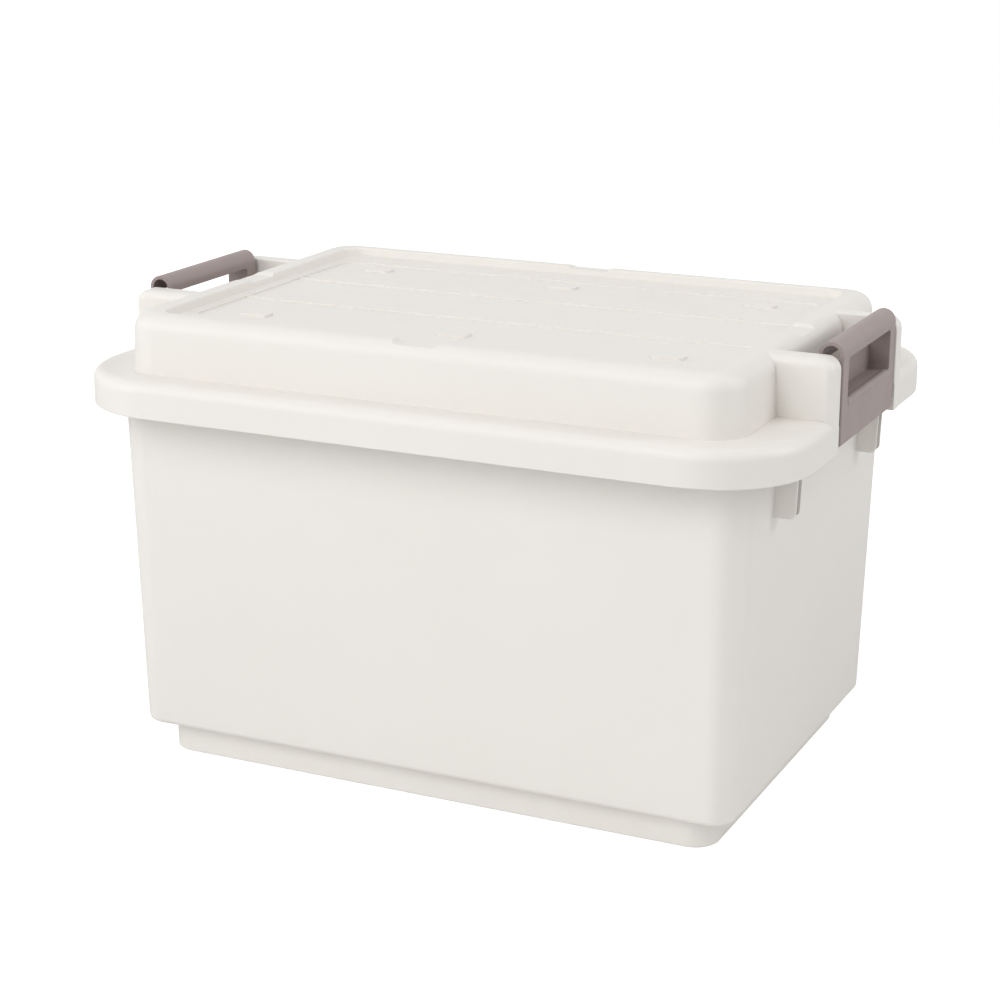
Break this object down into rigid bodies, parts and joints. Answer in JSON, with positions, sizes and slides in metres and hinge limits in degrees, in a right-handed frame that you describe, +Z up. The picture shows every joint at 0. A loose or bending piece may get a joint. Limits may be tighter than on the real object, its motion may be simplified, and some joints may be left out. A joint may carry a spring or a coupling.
{
  "type": "storage bin with lid",
  "caption": "Lidded storage bin: drafted tub on a recessed plinth, domed stacking lid with ears, and a swinging latch handle at each end.",
  "frame": {"origin": "middle of the plinth's underside, on the ground", "axes": "+X along the length towards the right-hand handle, +Y towards the back, +Z up"},
  "size_m": [0.5616, 0.3892, 0.3536],
  "materials": {
    "cream_polypropylene": "satin moulded",
    "taupe_polypropylene": "satin moulded"
  },
  "bodies": {
    "tub": {"tub": "cream_polypropylene"},
    "lid": {"lid": "cream_polypropylene"},
    "latch_handle_left": {"latch_handle_left": "taupe_polypropylene"},
    "latch_handle_right": {"latch_handle_right": "taupe_polypropylene"}
  },
  "joints": [
    {"name": "lid_lift", "type": "slide", "parent": "tub", "child": "lid", "axis": [0, 0, 1], "range_m": [0, 0.15]},
    {"name": "right_handle_hinge", "type": "hinge", "parent": "tub", "child": "latch_handle_right", "pos_m": [0.2713, 0, 0.2805], "axis": [0, 1, 0], "range_deg": [0, 100]},
    {"name": "left_handle_hinge", "type": "hinge", "parent": "tub", "child": "latch_handle_left", "pos_m": [-0.2713, 0, 0.2805], "axis": [0, -1, 0], "range_deg": [0, 100]}
  ]
}
